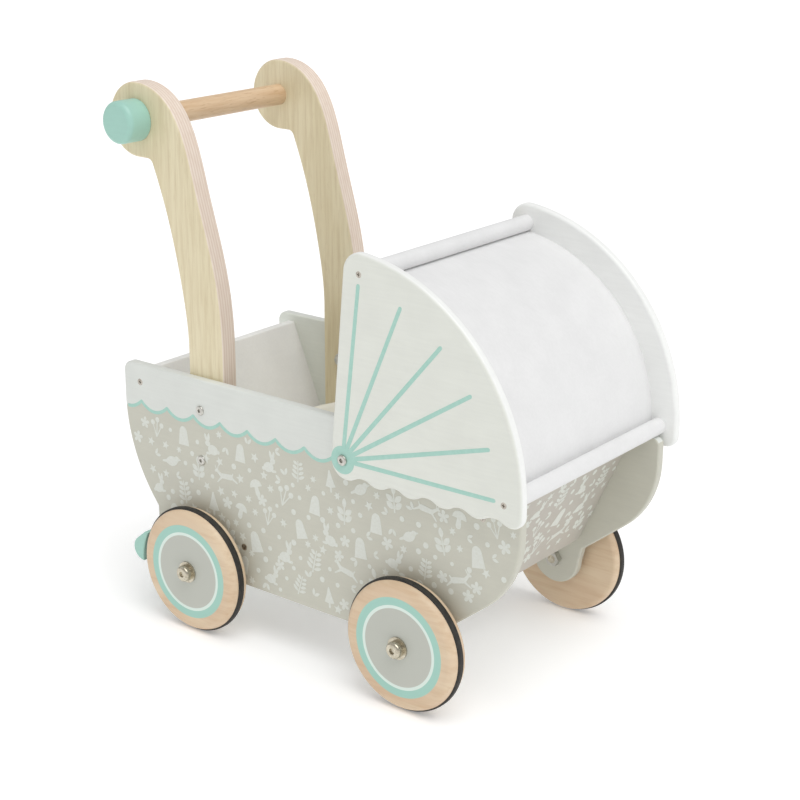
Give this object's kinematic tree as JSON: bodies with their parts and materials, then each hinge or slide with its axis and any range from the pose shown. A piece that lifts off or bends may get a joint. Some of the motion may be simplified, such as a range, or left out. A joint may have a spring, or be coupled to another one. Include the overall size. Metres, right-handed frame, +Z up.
{
  "type": "doll's pram",
  "caption": "Wooden doll's pram with a boat-shaped body, folding fan-sided hood, curved push handle, rubber-tyred wheels, foot brake and bedding.",
  "frame": {"origin": "on the floor under the middle of the bounding box, 2.4 mm ahead of midway between the axles", "axes": "+X to the hood end, +Y to the left side, +Z up"},
  "size_m": [0.4698, 0.2896, 0.4985],
  "materials": {
    "body_paint": "satin warm grey paint on birch plywood, printed with a pale woodland pattern under a white scalloped band",
    "inner_paint": "plain pale grey satin paint",
    "birch": "clear-lacquered birch plywood with a pink-brown layered edge",
    "beech": "clear-lacquered turned beech",
    "mint_paint": "satin mint paint",
    "wheel_wood": "clear-lacquered beech rim round a painted grey disc with white and mint rings",
    "tyre": "smooth black rubber band",
    "nickel": "warm nickel plate",
    "zinc": "dull zinc plate",
    "screw_steel": "plated steel screw with a cross recess",
    "nylon": "natural nylon",
    "hood_paint": "satin off-white paint with mint fan lines",
    "hood_sheet": "satin white paint",
    "cotton": "cream woven cotton over soft filling"
  },
  "bodies": {
    "pram_body": {"left_side_panel": "body_paint", "right_side_panel": "body_paint", "front_board": "body_paint", "rear_board": "inner_paint", "floor_board": "inner_paint", "left_handle_arm": "birch", "right_handle_arm": "birch", "handle_rod": "beech", "left_handle_knob": "mint_paint", "right_handle_knob": "mint_paint", "arm_bolts": "zinc", "arm_washers": "zinc", "arm_nuts": "zinc", "front_board_screws": "screw_steel", "rear_board_screws": "screw_steel", "floor_board_screws": "screw_steel", "axle_bolts": "nickel", "hub_washers": "nickel", "axle_spacers": "nylon", "axle_nuts": "zinc", "hood_pivot_bolts": "zinc", "hood_pivot_washers": "nylon", "hood_pivot_nuts": "zinc", "brake_pivot_bolts": "zinc", "brake_pivot_nuts": "zinc", "mattress": "cotton", "pillow": "cotton", "quilt": "cotton"},
    "front_left_wheel": {"front_left_wheel": "wheel_wood", "front_left_tyre": "tyre"},
    "front_right_wheel": {"front_right_wheel": "wheel_wood", "front_right_tyre": "tyre"},
    "rear_left_wheel": {"rear_left_wheel": "wheel_wood", "rear_left_tyre": "tyre"},
    "rear_right_wheel": {"rear_right_wheel": "wheel_wood", "rear_right_tyre": "tyre"},
    "hood": {"left_hood_panel": "hood_paint", "right_hood_panel": "hood_paint", "hood_skin": "hood_sheet", "hood_rear_rail": "hood_sheet", "hood_front_rail": "hood_sheet", "hood_rail_screws": "screw_steel"},
    "brake": {"left_brake_lever": "mint_paint", "right_brake_lever": "mint_paint", "brake_bar": "mint_paint", "left_brake_shoe": "mint_paint", "right_brake_shoe": "mint_paint"}
  },
  "joints": [
    {"name": "front_left_wheel_spin", "type": "hinge", "parent": "pram_body", "child": "front_left_wheel", "pos_m": [0.12185, 0.1272, 0.06], "axis": [0, 1, 0], "continuous": true},
    {"name": "front_right_wheel_spin", "type": "hinge", "parent": "pram_body", "child": "front_right_wheel", "pos_m": [0.12185, -0.1272, 0.06], "axis": [0, 1, 0], "continuous": true},
    {"name": "rear_left_wheel_spin", "type": "hinge", "parent": "pram_body", "child": "rear_left_wheel", "pos_m": [-0.12465, 0.1272, 0.06], "axis": [0, 1, 0], "continuous": true},
    {"name": "rear_right_wheel_spin", "type": "hinge", "parent": "pram_body", "child": "rear_right_wheel", "pos_m": [-0.12465, -0.1272, 0.06], "axis": [0, 1, 0], "continuous": true},
    {"name": "hood_fold", "type": "hinge", "parent": "pram_body", "child": "hood", "pos_m": [0.0529, 0, 0.2087], "axis": [0, -1, 0], "range_deg": [0, 68]},
    {"name": "brake_press", "type": "hinge", "parent": "pram_body", "child": "brake", "pos_m": [-0.1674, 0, 0.076], "axis": [0, -1, 0], "range_deg": [0, 11]}
  ]
}
